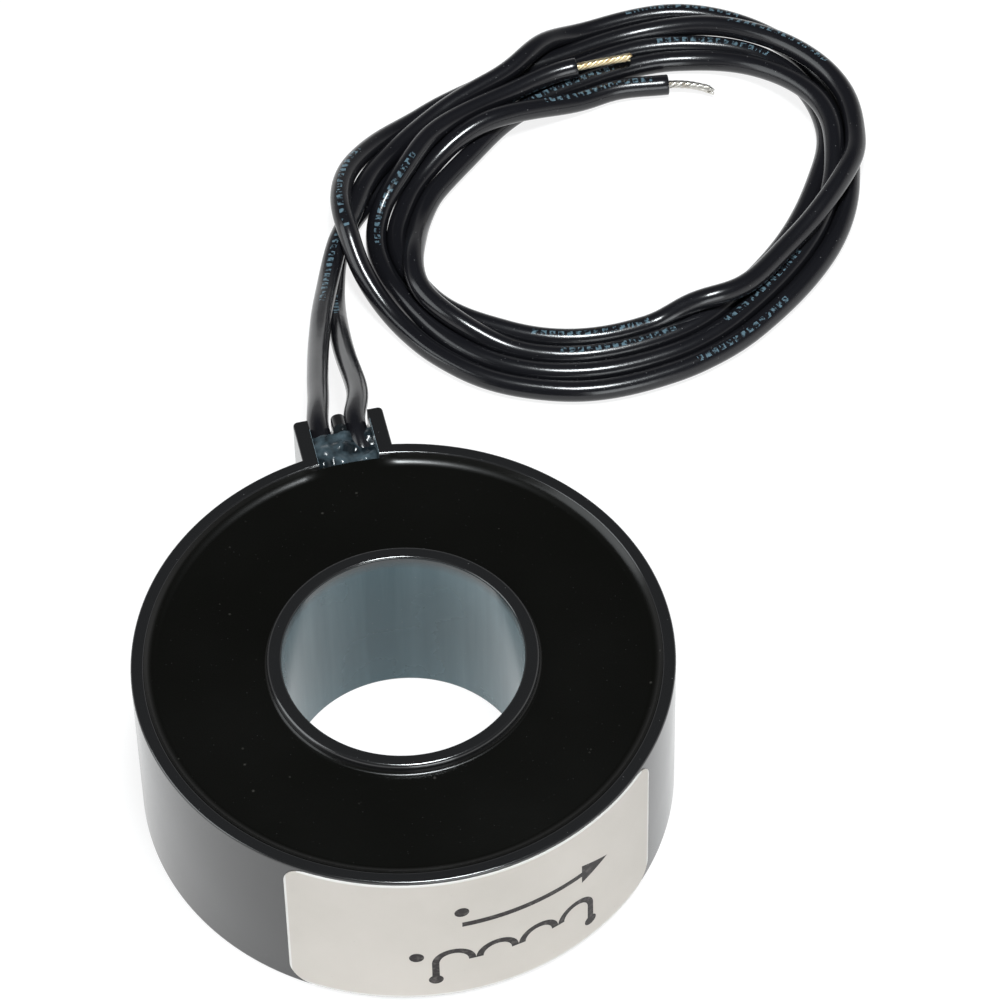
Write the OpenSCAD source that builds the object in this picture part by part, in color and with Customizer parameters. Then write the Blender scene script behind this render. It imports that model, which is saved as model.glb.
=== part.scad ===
// Window-type current transformer: a wound ring core potted in an open plastic cup,
// with a lead spout at the rim and two flexible leads that lie in a loose coil beside it.
// Millimetres. The origin is on the window's axis at the base, +Z up, and the spout points along +Y.

/* [Case] */
// Outer diameter of the cup
case_od = 66; // [50:1:90]
// Height of the cup, base to rim
case_h = 24.8; // [18:0.1:45]
// Diameter of the window that the primary cable passes through
window_d = 29.5; // [15:0.5:40]
// Thickness of the outer wall
wall_t = 1.6; // [1.2:0.1:3]
// Thickness of the hub tube round the window
hub_t = 1.8; // [1.2:0.1:3]
// How far the hub's lip stands above the rim
hub_rise = 0.4; // [0:0.1:2]
// Thickness of the cup's floor
floor_t = 2.0; // [1.2:0.1:4]
// Radius of the round edge under the base
base_round = 0.4; // [0.3:0.1:2]
// Radius of the round edges of the rim and the hub's lip
lip_round = 0.3; // [0.1:0.05:0.6]

/* [Lead spout] */
// How far the spout stands out from the outer wall
spout_reach = 5.6; // [3:0.1:12]
// Height of the spout's outside below the rim
spout_h = 12; // [8:0.5:16]
// Thickness of the spout's sides and floor
spout_t = 1.9; // [1.2:0.1:3]
// Thickness of the spout's end wall
spout_end_t = 1.6; // [1:0.1:3]
// Width of the tongue between the two notches
tongue_w = 1.7; // [1:0.1:4]
// Depth of a notch's centre line below the rim
notch_drop = 2.8; // [1.5:0.1:5]
// Radius of the spout's upright edges
spout_round = 0.6; // [0.2:0.1:1.5]
// Slope of the spout's underside, rise over its reach
spout_rise = 3; // [0:0.5:6]

/* [Leads] */
// Diameter of a lead's jacket
lead_d = 2.8; // [1.5:0.1:4]
// Diameter of a lead's stranded conductor
strand_d = 1.2; // [0.6:0.1:2]
// Bare length of the first lead's tip
tip_a_l = 6.2; // [3:0.1:12]
// Bare length of the second lead's tip
tip_b_l = 7.7; // [3:0.1:12]

/* [Potting] */
// How far the potting's surface lies below the rim
fill_drop = 0.9; // [0.4:0.1:4]
// Radius of the curve where the potting climbs the walls
creep_r = 0.8; // [0.2:0.1:0.9]
// How far the potting in the spout lies below the rim
spout_fill_drop = 1.8; // [1:0.1:5]
// Length over which the potting slopes down into the spout
slope_l = 1; // [0.5:0.5:6]

/* [Core and winding] */
// Thickness of the potting between the hub and the taped ring
pour_in = 1.65; // [0.5:0.05:5]
// Thickness of the potting between the taped ring and the outer wall
pour_out = 1.55; // [0.5:0.05:5]
// Depth of the potting over the taped ring
pour_top = 6.7; // [5:0.1:12]
// Thickness of the wrap on the core
wrap_t = 0.3; // [0.1:0.05:1]
// Thickness of the winding
winding_t = 1.0; // [0.4:0.1:2.5]
// Thickness of the tape over the winding
tape_t = 0.25; // [0.1:0.05:1]
// Angle that the winding leaves free at the spout side
winding_gap = 10; // [4:1:60]
// Diameter of a winding's finish end
finish_d = 0.6; // [0.2:0.1:1]
// Radius that a finish end is bent to
finish_bend = 0.9; // [0.6:0.1:2]

/* [Splices] */
// Length of a soldered splice
splice_l = 4; // [2:0.5:8]
// Diameter of a soldered splice
splice_d = 1.6; // [1:0.1:2.4]
// Length of the sleeve over a splice
sleeve_l = 8; // [5:0.5:14]
// Distance from the hub to the sleeve's near end
sleeve_off = 4.25; // [2:0.05:8]
// Length of lead that the sleeve grips
sleeve_grip = 4; // [2:0.5:8]
// Wall of the sleeve
sleeve_t = 0.4; // [0.2:0.05:0.8]

/* [Label] */
// Length of the label round the wall
label_l = 50.5; // [20:0.5:90]
// Gap from the label's top edge up to the rim
label_top = 0.4; // [0.4:0.1:6]
// Gap from the base up to the label's bottom edge
label_foot = 0.6; // [0.5:0.1:6]
// Thickness of the label
label_t = 0.15; // [0.1:0.05:0.5]
// Radius of the label's corners
label_r = 3; // [0.5:0.1:5]
// Direction of the label's middle, round from +X
label_at = 276; // [200:1:340]

/* [Fits] */
// Gap between cast or stuck faces
cast_gap = 0.02; // [0.01:0.01:0.1]
// Gap between a lead and what it passes through
lead_gap = 0.08; // [0.02:0.01:0.3]
// Gap round the bare tips in the coil
tip_gap = 0.3; // [0.1:0.05:0.5]

/* [Hidden] */
round_fn = 96;
small_fn = 32;
lead_sides = 8;
eps = 0.01;

case_r = case_od / 2;
window_r = window_d / 2;
hub_r = window_r + hub_t;
hub_h = case_h + hub_rise;
cup_r = case_r - wall_t;

lead_r = lead_d / 2;
notch_w = lead_d + 2 * lead_gap;
notch_x = (tongue_w + notch_w) / 2;
notch_z = case_h - notch_drop;
trough_w = tongue_w + 2 * notch_w;
spout_w = trough_w + 2 * spout_t;
spout_y = case_r + spout_reach;
trough_y = spout_y - spout_end_t;

fill_z = case_h - fill_drop;
spout_fill_z = case_h - spout_fill_drop;

// The taped ring stands on the cup's floor, and each layer lies on the one inside it.
winding_layer = wrap_t + cast_gap;
tape_layer = winding_layer + winding_t + cast_gap;
pot_layer = tape_layer + tape_t + cast_gap;
core_z = floor_t + pot_layer;
core_in_r = hub_r + pour_in + pot_layer;
core_out_r = cup_r - pour_out - pot_layer;
core_w = core_out_r - core_in_r;
core_h = fill_z - pour_top - pot_layer - core_z;
ring_top_z = core_z + core_h + pot_layer;

// The splices lie side by side on the taped ring, in line with the notches.
sleeve_r = lead_r + lead_gap + sleeve_t;
splice_z = ring_top_z + sleeve_r + lead_gap;
sleeve_y = hub_r + sleeve_off;
lead_in_y = sleeve_y + sleeve_l - sleeve_grip;
splice_y = lead_in_y - splice_l;
finish_y = sleeve_y - finish_bend - 0.2;

label_in_r = case_r + cast_gap;
label_h = case_h - label_top - label_foot;

// The stretch of each lead from its splice to just outside its notch.
function lead_start(x) = [
    [x, lead_in_y, splice_z],
    [x, lead_in_y + sleeve_grip + 0.6, splice_z],
    [x, lead_in_y + 7.4, (splice_z + notch_z) / 2],
    [x, lead_in_y + 10, notch_z - 0.2],
    [x, spout_y + 1, notch_z],
];

// From there the leads sink in one long curve to the surface, where the first rests on the second.
lead_a_route = concat(lead_start(-notch_x), [
    [-1.7, 42.2, 21.5],
    [-1, 46.1, 19.6],
    [-0.3, 50.5, 17.2],
    [0.6, 55, 14.9],
    [1.6, 60, 12.2],
    [2.7, 64.6, 10],
    [3.8, 69.1, 8.2],
    [5.3, 73.9, 6.2],
    [6.8, 78.5, 4.6],
]);
lead_b_route = concat(lead_start(notch_x), [
    [3.3, 42, 21.4],
    [3.9, 45, 20],
    [4.3, 49, 17.8],
    [4.5, 53, 15.4],
    [4.8, 58.6, 12],
    [5.4, 65.2, 8],
    [6.2, 72, 4],
    [7, 77.2, 1.8],
]);

// The coil's middle on the surface, and the space that its turns take up.
coil_at = [46.5, 85.5, 0];
coil_in_r = 15.5;
coil_out_r = 38.5;
coil_step_in = 6;
coil_step_out = 4;

// Each bare tip's start in the coil, and the direction that it points in.
tip_a_at = [58.8, 102.6, lead_r];
tip_a_turn = -25;
tip_b_at = [46.9, 106, lead_r + lead_d];
tip_b_turn = -2;

// A tube swept along a route: one ring of points at each route point, square to the path there.
function unit(v) = v / norm(v);
function heading(route, i) =
    unit(route[min(i + 1, len(route) - 1)] - route[max(i - 1, 0)]);
function side_of(h) = unit(cross(h, [0, 0, 1]));
function ring(route, i, r, sides) =
    let (h = heading(route, i))
    let (s = side_of(h))
    let (u = cross(s, h))
    [for (k = [0:sides - 1]) route[i] + r * (s * cos(360 * k / sides) + u * sin(360 * k / sides))];

module tube(route, r, sides) {
    points = [for (i = [0:len(route) - 1]) each ring(route, i, r, sides)];
    last = (len(route) - 1) * sides;
    first_cap = [[for (k = [sides - 1:-1:0]) k]];
    last_cap = [[for (k = [0:sides - 1]) last + k]];
    walls = [
        for (i = [0:len(route) - 2], k = [0:sides - 1])
            let (a = i * sides + k, b = i * sides + (k + 1) % sides)
            each [[a, b, a + sides], [b, b + sides, a + sides]]
    ];
    polyhedron(points, concat(first_cap, last_cap, walls), convexity = 6);
}

// The cup's half section: floor, outer wall and hub, with round base and lip edges.
module lip(x, w, h) {
    translate([x, floor_t - eps])
        square([w, h - floor_t - lip_round + eps]);
    translate([x + lip_round, h - lip_round - eps])
        square([w - 2 * lip_round, lip_round + eps]);
    for (c = [x + lip_round, x + w - lip_round])
        translate([c, h - lip_round])
            circle(lip_round, $fn = small_fn);
}

module cup_section() {
    lip(window_r, hub_t, hub_h);
    lip(cup_r, wall_t, case_h);
    translate([window_r, 0])
        square([case_r - window_r - base_round, floor_t]);
    translate([window_r, base_round])
        square([case_r - window_r, floor_t - base_round]);
    translate([case_r - base_round, base_round])
        circle(base_round, $fn = small_fn);
}

// One U notch of the end wall, open at the rim, as a cutter.
module notch(x) {
    translate([x, trough_y - eps, notch_z])
        rotate([-90, 0, 0])
            cylinder(r = notch_w / 2, h = spout_end_t + 2 * eps, $fn = small_fn);
    translate([x - notch_w / 2, trough_y - eps, notch_z])
        cube([notch_w, spout_end_t + 2 * eps, notch_drop + 1]);
}

// The spout's plan: from inside the outer wall to the end wall, with round upright edges.
module spout_plan() {
    translate([-spout_w / 2, cup_r - 1])
        square([spout_w, spout_y - spout_round - cup_r + 1]);
    translate([-spout_w / 2 + spout_round, cup_r - 1])
        square([spout_w - 2 * spout_round, spout_y - cup_r + 1]);
    for (x = [-1, 1])
        translate([x * (spout_w / 2 - spout_round), spout_y - spout_round])
            circle(spout_round, $fn = small_fn);
}

// The spout's side profile: its underside rises from the outer wall to the end wall.
module spout_profile() {
    polygon([
        [cup_r - 2, case_h - spout_h],
        [case_r, case_h - spout_h],
        [spout_y, case_h - spout_h + spout_rise],
        [spout_y + 1, case_h + 1],
        [cup_r - 2, case_h + 1],
    ]);
}

module spout_block() {
    intersection() {
        translate([0, 0, case_h - spout_h])
            linear_extrude(spout_h)
                spout_plan();
        rotate([90, 0, 90])
            translate([0, 0, -spout_w])
                linear_extrude(2 * spout_w)
                    spout_profile();
    }
}

// The trough's side profile, a wall's thickness inside the spout's.
module trough_profile(grow, top_z) {
    floor_z = case_h - spout_h + spout_t - grow;
    polygon([
        [cup_r - 1, floor_z],
        [case_r, floor_z],
        [trough_y + grow, floor_z + spout_rise * (trough_y - case_r) / spout_reach],
        [trough_y + grow, top_z],
        [cup_r - 1, top_z],
    ]);
}

// The trough runs from inside the cup's wall to the spout's end wall.
module trough(grow, top_z) {
    w = trough_w + 2 * grow;
    rotate([90, 0, 90])
        translate([0, 0, -w / 2])
            linear_extrude(w)
                trough_profile(grow, top_z);
}

// What is cut away beside the tongue's round top.
module tongue_shoulders() {
    translate([0, trough_y - eps, case_h - tongue_w / 2])
        rotate([-90, 0, 0])
            difference() {
                translate([-tongue_w / 2 - eps, -tongue_w, 0])
                    cube([tongue_w + 2 * eps, tongue_w, spout_end_t + 2 * eps]);
                translate([0, 0, -1])
                    cylinder(r = tongue_w / 2, h = spout_end_t + 2, $fn = small_fn);
            }
}

module case() {
    color([0.05, 0.05, 0.06])
        difference() {
            union() {
                rotate_extrude($fn = round_fn)
                    cup_section();
                difference() {
                    spout_block();
                    translate([0, 0, case_h - spout_h - 1])
                        cylinder(r = cup_r, h = spout_h + 2, $fn = round_fn);
                }
            }
            trough(0, case_h + 1);
            for (x = [-notch_x, notch_x])
                notch(x);
            tongue_shoulders();
        }
}

// The cast ring's half section, with the surface creeping up both walls.
module fill_section() {
    r_in = hub_r + cast_gap;
    r_out = cup_r - cast_gap;
    difference() {
        translate([r_in, floor_t + cast_gap])
            square([r_out - r_in, fill_z + creep_r - floor_t - cast_gap]);
        for (x = [r_in + creep_r, r_out - creep_r])
            translate([x, fill_z + creep_r])
                circle(creep_r, $fn = small_fn);
        translate([r_in + creep_r, fill_z])
            square([r_out - r_in - 2 * creep_r, creep_r + 1]);
    }
}

// The section of a layer's outside: the core's section grown by what lies under the layer.
module layer_section(grow) {
    translate([core_in_r - grow, core_z - grow])
        square([core_w + 2 * grow, core_h + 2 * grow]);
}

module layer(inner, outer, gap_angle) {
    rotate([0, 0, 90 + gap_angle / 2])
        rotate_extrude(angle = 360 - gap_angle, $fn = round_fn)
            difference() {
                layer_section(outer);
                layer_section(inner);
            }
}

// A finish end rises from inside the winding's top and bends along to the splice.
module finish_end(x, r) {
    foot_z = core_z + core_h + winding_layer + winding_t / 2;
    bend_z = splice_z - finish_bend;
    translate([x, finish_y, foot_z])
        cylinder(r = r, h = bend_z - foot_z, $fn = small_fn);
    translate([x, finish_y + finish_bend, bend_z])
        rotate([0, -90, 0])
            rotate([0, 0, -90])
                rotate_extrude(angle = 90, $fn = small_fn)
                    translate([finish_bend, 0])
                        circle(r, $fn = small_fn);
    translate([x, finish_y + finish_bend, splice_z])
        rotate([-90, 0, 0])
            cylinder(r = r, h = splice_y - finish_y - finish_bend - cast_gap, $fn = small_fn);
}

module sleeve_space(x) {
    translate([x, sleeve_y - cast_gap, splice_z])
        rotate([-90, 0, 0])
            cylinder(r = sleeve_r + cast_gap, h = sleeve_l + 2 * cast_gap, $fn = small_fn);
}

// What is missing above the potting where it slopes down into the spout.
module fill_slope() {
    rotate([90, 0, 90])
        translate([0, 0, -trough_w / 2])
            linear_extrude(trough_w)
                polygon([
                    [cup_r - slope_l, fill_z],
                    [cup_r, spout_fill_z],
                    [spout_y, spout_fill_z],
                    [spout_y, case_h + 1],
                    [cup_r - slope_l, case_h + 1],
                ]);
}

module potting() {
    color([0.07, 0.07, 0.07])
        difference() {
            union() {
                rotate_extrude($fn = round_fn)
                    fill_section();
                trough(-cast_gap, spout_fill_z);
            }
            fill_slope();
            rotate_extrude($fn = round_fn)
                translate([core_in_r - pot_layer, 0])
                    square([core_w + 2 * pot_layer, ring_top_z]);
            for (x = [-notch_x, notch_x]) {
                sleeve_space(x);
                finish_end(x, finish_d / 2 + cast_gap);
                tube(lead_start(x), lead_r + lead_gap, lead_sides);
            }
        }
}

// The label's outline, flat: a rectangle with round corners.
module label_outline(w, h, r) {
    translate([-w / 2 + r, -h / 2])
        square([w - 2 * r, h]);
    translate([-w / 2, -h / 2 + r])
        square([w, h - 2 * r]);
    for (x = [-1, 1], y = [-1, 1])
        translate([x * (w / 2 - r), y * (h / 2 - r)])
            circle(r, $fn = small_fn);
}

// A thin shell round the wall, trimmed to the outline as seen square on.
module label() {
    half_angle = label_l / case_r * 90 / PI;
    chord = 2 * (label_in_r + label_t) * sin(half_angle);
    color([0.86, 0.84, 0.83])
        intersection() {
            translate([0, 0, label_foot - 1])
                difference() {
                    cylinder(r = label_in_r + label_t, h = label_h + 2, $fn = round_fn);
                    translate([0, 0, -1])
                        cylinder(r = label_in_r, h = label_h + 4, $fn = round_fn);
                }
            rotate([0, 0, label_at])
                translate([0, 0, label_foot + label_h / 2])
                    rotate([90, 0, 90])
                        linear_extrude(case_r + 1)
                            label_outline(chord, label_h, label_r);
        }
}

module core() {
    color([0.55, 0.56, 0.58])
        rotate_extrude($fn = round_fn)
            layer_section(0);
}

module core_wrap() {
    color([0.9, 0.88, 0.8])
        layer(cast_gap, wrap_t, 1);
}

module winding() {
    color([0.72, 0.4, 0.16]) {
        layer(winding_layer, winding_layer + winding_t, winding_gap);
        for (x = [-notch_x, notch_x])
            finish_end(x, finish_d / 2);
    }
}

module winding_tape() {
    color([0.85, 0.75, 0.2])
        difference() {
            layer(tape_layer, tape_layer + tape_t, 0);
            for (x = [-notch_x, notch_x])
                finish_end(x, finish_d / 2 + lead_gap);
        }
}

module splice(x) {
    color([0.75, 0.75, 0.72])
        translate([x, splice_y, splice_z])
            rotate([-90, 0, 0])
                cylinder(d = splice_d, h = splice_l - cast_gap, $fn = small_fn);
}

module splice_a() {
    splice(-notch_x);
}

module splice_b() {
    splice(notch_x);
}

module sleeve(x) {
    color([0.1, 0.1, 0.1])
        translate([x, sleeve_y, splice_z])
            rotate([-90, 0, 0])
                difference() {
                    cylinder(r = sleeve_r, h = sleeve_l, $fn = small_fn);
                    translate([0, 0, -1])
                        cylinder(r = sleeve_r - sleeve_t, h = sleeve_l + 2, $fn = small_fn);
                }
}

module sleeve_a() {
    sleeve(-notch_x);
}

module sleeve_b() {
    sleeve(notch_x);
}

module lead_a() {
    color([0.06, 0.06, 0.07])
        tube(lead_a_route, lead_r, lead_sides);
}

module lead_b() {
    color([0.06, 0.06, 0.07])
        tube(lead_b_route, lead_r, lead_sides);
}

// A bare tip, or with more radius the space round it.
module tip(at, turn, l, r, back) {
    translate(at)
        rotate([0, 0, turn])
            translate([-back, 0, 0])
                rotate([0, 90, 0])
                    cylinder(r = r, h = l + 2 * back, $fn = small_fn);
}

module tip_space(at, turn, l) {
    r = strand_d / 2 + tip_gap;
    tip(at, turn, l, r, tip_gap);
    translate(at)
        rotate([0, 0, turn])
            translate([-tip_gap, -r, 0])
                cube([l + 2 * tip_gap, 2 * r, 2 * lead_d]);
}

// The space that the coiled turns take up: one lead high at its edges, two where turns cross.
module lead_coil() {
    color([0.06, 0.06, 0.07])
        difference() {
            translate(coil_at)
                rotate_extrude($fn = round_fn)
                    polygon([
                        [coil_in_r, 0],
                        [coil_out_r, 0],
                        [coil_out_r, lead_d],
                        [coil_out_r - coil_step_out, 2 * lead_d],
                        [coil_in_r + coil_step_in, 2 * lead_d],
                        [coil_in_r, lead_d],
                    ]);
            tip_space(tip_a_at, tip_a_turn, tip_a_l);
            tip_space(tip_b_at, tip_b_turn, tip_b_l);
        }
}

module lead_a_tip() {
    color([0.7, 0.7, 0.68])
        tip(tip_a_at, tip_a_turn, tip_a_l, strand_d / 2, 0);
}

module lead_b_tip() {
    color([0.78, 0.68, 0.45])
        tip(tip_b_at, tip_b_turn, tip_b_l, strand_d / 2, 0);
}

case();
potting();
label();
core();
core_wrap();
winding();
winding_tape();
splice_a();
splice_b();
sleeve_a();
sleeve_b();
lead_a();
lead_b();
lead_coil();
lead_a_tip();
lead_b_tip();
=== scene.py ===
import math
import random

import bmesh
import bpy
import numpy as np
from mathutils import Matrix, Vector


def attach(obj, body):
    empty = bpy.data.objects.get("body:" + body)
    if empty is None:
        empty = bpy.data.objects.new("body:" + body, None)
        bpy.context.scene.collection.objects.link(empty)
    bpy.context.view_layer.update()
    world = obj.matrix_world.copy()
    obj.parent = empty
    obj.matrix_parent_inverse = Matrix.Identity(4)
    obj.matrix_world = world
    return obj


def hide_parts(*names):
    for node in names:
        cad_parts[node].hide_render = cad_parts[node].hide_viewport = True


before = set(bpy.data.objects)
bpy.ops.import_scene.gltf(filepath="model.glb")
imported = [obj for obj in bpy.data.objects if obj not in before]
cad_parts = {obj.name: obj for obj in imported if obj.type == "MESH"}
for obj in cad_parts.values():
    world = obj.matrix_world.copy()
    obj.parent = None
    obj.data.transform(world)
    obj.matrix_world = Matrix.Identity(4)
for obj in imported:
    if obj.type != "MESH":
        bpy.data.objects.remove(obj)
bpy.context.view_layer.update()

bpy.ops.object.select_all(action="DESELECT")
MM = 0.001

# --- Camera --------------------------------------------------------------------------------
# A long lens looks down at the cup from its label side. It frames the whole object, with the
# coiled leads behind the cup.
CAMERA_AT = Vector((-74.14, -407.08, 589.75)) * MM
CAMERA_LOOKS_AT = Vector((20.75, 39.39, 0)) * MM
CAMERA_ROLL = -1.214
CAMERA_LENS = 208.4
look = (CAMERA_LOOKS_AT - CAMERA_AT).normalized()
bpy.ops.object.camera_add(location=CAMERA_AT)
camera = bpy.context.object
camera.rotation_euler = (
    look.to_track_quat("-Z", "Y").to_matrix() @ Matrix.Rotation(math.radians(CAMERA_ROLL), 3, "Z")
).to_euler()
camera.data.lens = CAMERA_LENS
camera.data.sensor_width = 36
camera.data.clip_start = 0.01
camera.data.clip_end = 20
bpy.context.scene.camera = camera

# --- The two leads -------------------------------------------------------------------------
# Two lengths of flexible hook-up wire with glossy black PVC jackets and a faint row of pale
# marks. They come out of the spout's notches, sink to the surface, and lie there in a loose
# hand-wound coil of two turns and a bit, where each rides over the other in a few places.
LEAD_R = 1.4 * MM
CORE_R = 0.6 * MM
LEAD_SIDES = 28
CUT_ROUND = 0.12
COIL_AT = (44.5, 84.5)
KEY_STEP = 24
FINE_STEP = 12

# The stretch from the splice to the coil, as in the part's source.
LEAD_A_ROUTE = [
    (-2.33, 24.8, 19.16), (-2.33, 29.4, 19.16), (-2.33, 32.2, 20.58), (-2.33, 34.8, 21.8),
    (-2.33, 39.6, 22), (-1.7, 42.2, 21.5), (-1, 46.1, 19.6), (-0.3, 50.5, 17.2),
    (0.6, 55, 14.9), (1.6, 60, 12.2), (2.7, 64.6, 10), (3.8, 69.1, 8.2), (5.3, 73.9, 6.2),
    (6.8, 78.5, 4.6),
]
LEAD_B_ROUTE = [
    (2.33, 24.8, 19.16), (2.33, 29.4, 19.16), (2.33, 32.2, 20.58), (2.33, 34.8, 21.8),
    (2.33, 39.6, 22), (3.3, 42, 21.4), (3.9, 45, 20), (4.3, 49, 17.8), (4.5, 53, 15.4),
    (4.8, 58.6, 12), (5.4, 65.2, 8), (6.2, 72, 4), (7, 77.2, 1.8),
]
# How far each turn lies from the coil's middle and how high above the surface, going round
# it clockwise, every KEY_STEP degrees.
TURNS_A = [
    (34.8, 3), (28.6, 1.6), (25.5, 2.2), (24.2, 2.8), (28.4, 0.8), (35.4, 0), (37.9, 0), (36.6, 0),
    (33.2, 0), (31, 0), (30, 0), (30.8, 0), (32.7, 0), (33.4, 0), (33.6, 0.8), (34.5, 5.4),
    (32.2, 3), (27.5, 0), (25.5, 0), (26.8, 0), (31.4, 1), (36.2, 2.8), (37.3, 2.8), (32.2, 4),
    (26.8, 3), (25.2, 2.4), (22.8, 0), (23.9, 0), (25.8, 0), (27.8, 0), (28, 0.8), (24.1, 1),
    (19.7, 2.8), (17.2, 2.6), (18.2, 0.6), (22, 0),
]
TURNS_B = [
    (35.2, 0), (27, 0), (23.3, 0), (22.5, 0), (24.2, 0), (29.1, 0), (34, 0), (34, 0),
    (29.4, 0), (25.6, 0), (24.6, 0), (25.1, 0), (26.6, 0), (28.3, 0.8), (29, 2.6), (25.3, 1),
    (21.2, 0), (18.9, 0), (19.3, 0), (21.2, 0), (26.4, 0), (31.6, 1.4), (33.8, 2.8), (31.2, 1.8),
    (28.2, 0), (27.3, 0), (28, 0), (29.6, 0), (30.8, 0), (30.2, 0), (29.3, 0), (25.6, 2.2),
    (22.7, 2.8), (20.9, 2.8), (21.4, 2.8),
]
# How many degrees each lead goes round, and its cut end.
LAST_A = 828
LAST_B = 792
LEAD_A_END = [(54.97, 103.08, 1.4), (58.8, 102.6, 1.4)]
LEAD_B_END = [(43.06, 105.82, 4.2), (46.9, 106, 4.2)]


def between(values, at):
    """A smooth value between evenly spaced ones."""
    i = min(max(int(at), 0), len(values) - 2)
    t = at - i
    a, b = values[max(i - 1, 0)], values[i]
    c, d = values[i + 1], values[min(i + 2, len(values) - 1)]
    return b + 0.5 * t * (c - a + t * (2 * a - 5 * b + 4 * c - d + t * (3 * (b - c) + d - a)))


def wound(route, turns, last, end):
    """The lead's key points: its route to the coil, its turns by a loop, and its cut end."""
    points = [np.array(p, float) for p in route]
    for turned in range(0, last + 1, FINE_STEP):
        far = between([t[0] for t in turns], turned / KEY_STEP)
        lift = max(between([t[1] for t in turns], turned / KEY_STEP), 0)
        way = math.radians(180 - turned)
        points.append(
            np.array((
                COIL_AT[0] + far * math.cos(way), COIL_AT[1] + far * math.sin(way),
                LEAD_R / MM + lift,
            ))
        )
    return [p * MM for p in points + [np.array(p) for p in end]]


def curve_through(points, pieces):
    """A smooth line through the points, with equal pace along each stretch."""
    line = []
    ends = [2 * points[0] - points[1], *points, 2 * points[-1] - points[-2]]
    for a, b, c, d in zip(ends, ends[1:], ends[2:], ends[3:]):
        ab, bc, cd = (np.linalg.norm(v) for v in (b - a, c - b, d - c))
        m = ((b - a) / ab * bc + (c - b) / bc * ab) / (ab + bc) * bc
        n = ((c - b) / bc * cd + (d - c) / cd * bc) / (bc + cd) * bc
        for k in range(pieces):
            t = k / pieces
            line.append(
                (2 * t**3 - 3 * t**2 + 1) * b + (t**3 - 2 * t**2 + t) * m
                + (3 * t**2 - 2 * t**3) * c + (t**3 - t**2) * n
            )
    return np.array(line + [points[-1]])


def evenly(line, step):
    """The same line with its points at even steps."""
    along = np.concatenate([[0], np.cumsum(np.linalg.norm(np.diff(line, axis=0), axis=1))])
    at = np.linspace(0, along[-1], round(along[-1] / step) + 1)
    return np.stack([np.interp(at, along, line[:, k]) for k in range(3)], 1)


# The leads settle in small steps. In each one a free point sinks by SINK, gives up its share
# of the bend's unevenness and of its way from the start, and is pushed off a point that it
# touches, unless fewer than APART_FROM points lie between them on the same lead.
SETTLE_STEPS = 500
LOOK_EVERY = 40
SINK = 0.012 * MM
STIFFNESS = 0.25
RETURN = 0.02
PUSH = 0.3
APART_FROM = 5


def settled(lines, held, apart):
    """The leads sink under their weight, keep smooth bends and come to rest on each other."""
    start = np.vstack(lines)
    now = start.copy()
    lead = np.concatenate([np.full(len(line), k) for k, line in enumerate(lines)])
    place = np.concatenate([np.arange(len(line)) for line in lines])
    last = np.concatenate([np.full(len(line), len(line) - 1) for line in lines])
    free = place >= held
    at_end = (place == 0) | (place == last)
    bends = ~at_end & (place != 1) & (place != last - 1)
    i, j = np.triu_indices(len(now), 1)
    pair = ((lead[i] != lead[j]) | (np.abs(i - j) > APART_FROM)) & (free[i] | free[j])
    i, j = i[pair], j[pair]
    for step in range(SETTLE_STEPS):
        if step % LOOK_EVERY == 0:
            near = np.linalg.norm(now[i] - now[j], axis=1) < 2 * apart
            a, b = i[near], j[near]
        now[free, 2] -= SINK
        bend = np.zeros_like(now)
        bend[1:-1] = (now[:-2] + now[2:]) / 2 - now[1:-1]
        bend[at_end] = 0
        ease = np.zeros_like(now)
        ease[1:-1] = bend[1:-1] - (bend[:-2] + bend[2:]) / 2
        now[free] += STIFFNESS * (ease * bends[:, None])[free] + RETURN * (start - now)[free]
        for _ in range(2):
            gap = now[a] - now[b]
            far = np.linalg.norm(gap, axis=1)
            hit = far < apart
            push = (PUSH * (apart - far[hit]) / far[hit])[:, None] * gap[hit]
            np.add.at(now, a[hit], push * free[a[hit]][:, None])
            np.add.at(now, b[hit], -push * free[b[hit]][:, None])
        now[free, 2] = np.maximum(now[free, 2], LEAD_R)
    return [now[lead == k] for k in range(len(lines))]


def frames_along(line):
    """A side and an up direction at each point, turned as little as can be along the line."""
    out = []
    side = None
    for i in range(len(line)):
        ahead = (line[min(i + 1, len(line) - 1)] - line[max(i - 1, 0)]).normalized()
        side = ahead.cross(Vector((0, 0, 1))) if side is None else side - ahead * side.dot(ahead)
        side.normalize()
        out.append((ahead, side.copy(), side.cross(ahead)))
    return out


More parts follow.
